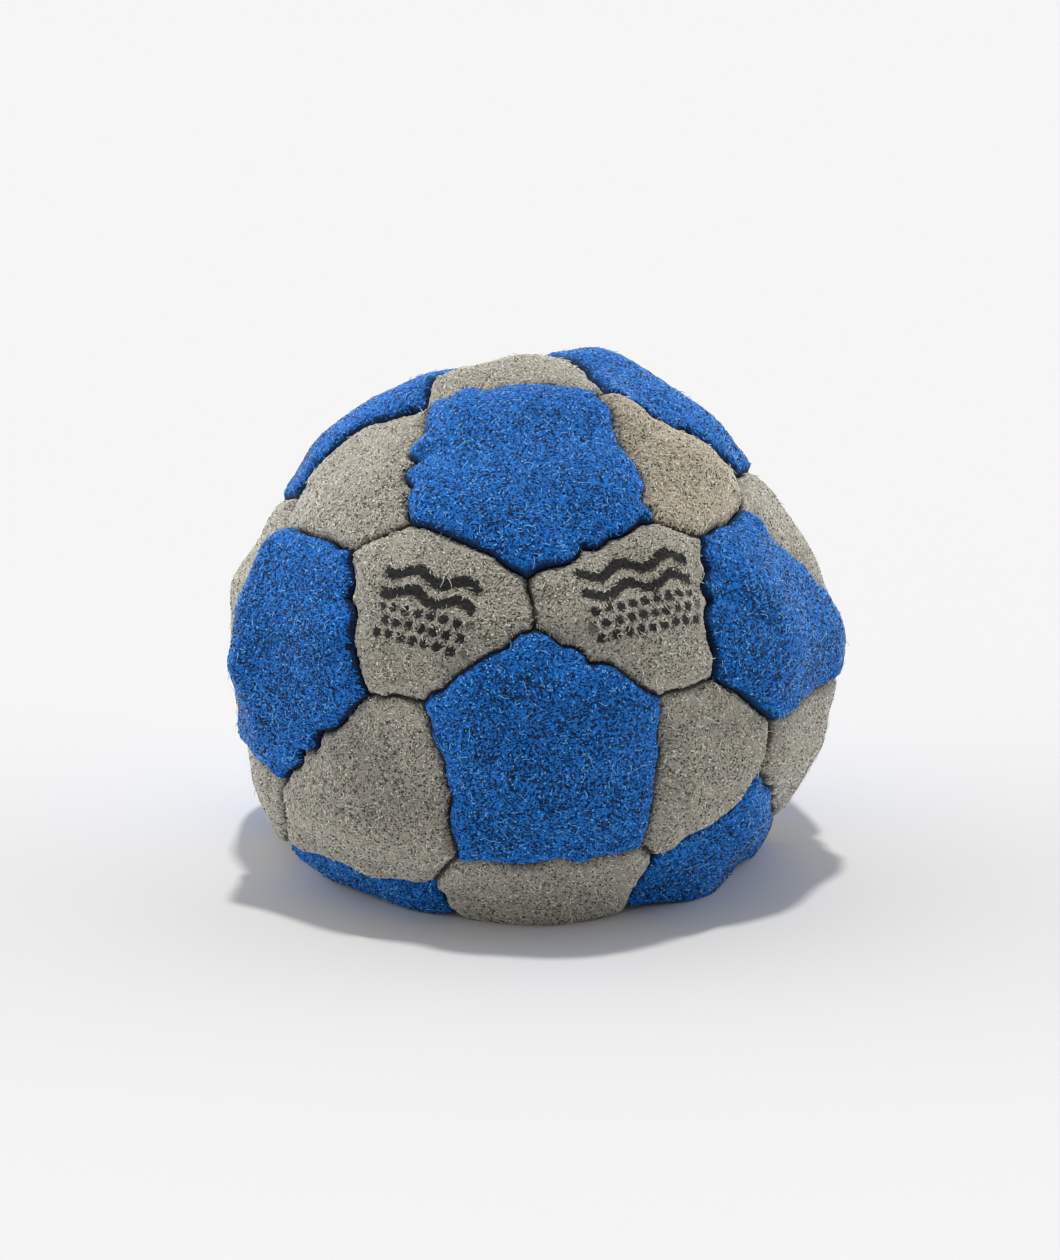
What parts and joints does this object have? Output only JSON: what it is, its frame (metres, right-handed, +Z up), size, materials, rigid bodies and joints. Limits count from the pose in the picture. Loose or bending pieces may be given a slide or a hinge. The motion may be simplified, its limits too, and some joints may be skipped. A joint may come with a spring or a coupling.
{
  "type": "foot juggling ball",
  "caption": "Soft foot-juggling ball: suede pentagon and hexagon panels sewn edge to edge round a loose sand filling, slumped on a flat base.",
  "frame": {"origin": "centre of the flat base the slumped ball rests on, on the ground", "axes": "+Z up; the front, with a blue pentagon low and another above it, faces -Y; +X to the right seen from the front"},
  "size_m": [0.053, 0.053, 0.045],
  "materials": {
    "blue_suede": "napped synthetic suede, strong blue",
    "grey_suede": "napped synthetic suede, warm light grey",
    "sewing_thread": "twisted polyester sewing thread, dark grey",
    "sand": "dry fine sand"
  },
  "bodies": {
    "cover": {"blue_pentagon_panel_01": "blue_suede", "blue_pentagon_panel_02": "blue_suede", "blue_pentagon_panel_03": "blue_suede", "blue_pentagon_panel_04": "blue_suede", "blue_pentagon_panel_05": "blue_suede", "blue_pentagon_panel_06": "blue_suede", "blue_pentagon_panel_07": "blue_suede", "blue_pentagon_panel_08": "blue_suede", "blue_pentagon_panel_09": "blue_suede", "blue_pentagon_panel_10": "blue_suede", "blue_pentagon_panel_11": "blue_suede", "blue_pentagon_panel_12": "blue_suede", "grey_hexagon_panel_01": "grey_suede", "grey_hexagon_panel_02": "grey_suede", "grey_hexagon_panel_03": "grey_suede", "grey_hexagon_panel_04": "grey_suede", "grey_hexagon_panel_05": "grey_suede", "grey_hexagon_panel_06": "grey_suede", "grey_hexagon_panel_07": "grey_suede", "grey_hexagon_panel_08": "grey_suede", "grey_hexagon_panel_09": "grey_suede", "grey_hexagon_panel_10": "grey_suede", "grey_hexagon_panel_11": "grey_suede", "grey_hexagon_panel_12": "grey_suede", "grey_hexagon_panel_13": "grey_suede", "grey_hexagon_panel_14": "grey_suede", "grey_hexagon_panel_15": "grey_suede", "grey_hexagon_panel_16": "grey_suede", "grey_hexagon_panel_17": "grey_suede", "grey_hexagon_panel_18": "grey_suede", "grey_hexagon_panel_19": "grey_suede", "grey_hexagon_panel_20": "grey_suede", "pentagon_seam_thread_01": "sewing_thread", "pentagon_seam_thread_02": "sewing_thread", "pentagon_seam_thread_03": "sewing_thread", "pentagon_seam_thread_04": "sewing_thread", "pentagon_seam_thread_05": "sewing_thread", "pentagon_seam_thread_06": "sewing_thread", "pentagon_seam_thread_07": "sewing_thread", "pentagon_seam_thread_08": "sewing_thread", "pentagon_seam_thread_09": "sewing_thread", "pentagon_seam_thread_10": "sewing_thread", "pentagon_seam_thread_11": "sewing_thread", "pentagon_seam_thread_12": "sewing_thread", "short_seam_threads_lower": "sewing_thread", "short_seam_threads_middle": "sewing_thread", "short_seam_threads_upper": "sewing_thread"},
    "filling": {"sand_filling": "sand"}
  },
  "joints": [
    {"name": "fill_shift", "type": "slide", "parent": "cover", "child": "filling", "axis": [0, 0, 1], "range_m": [0, 0.002]}
  ]
}
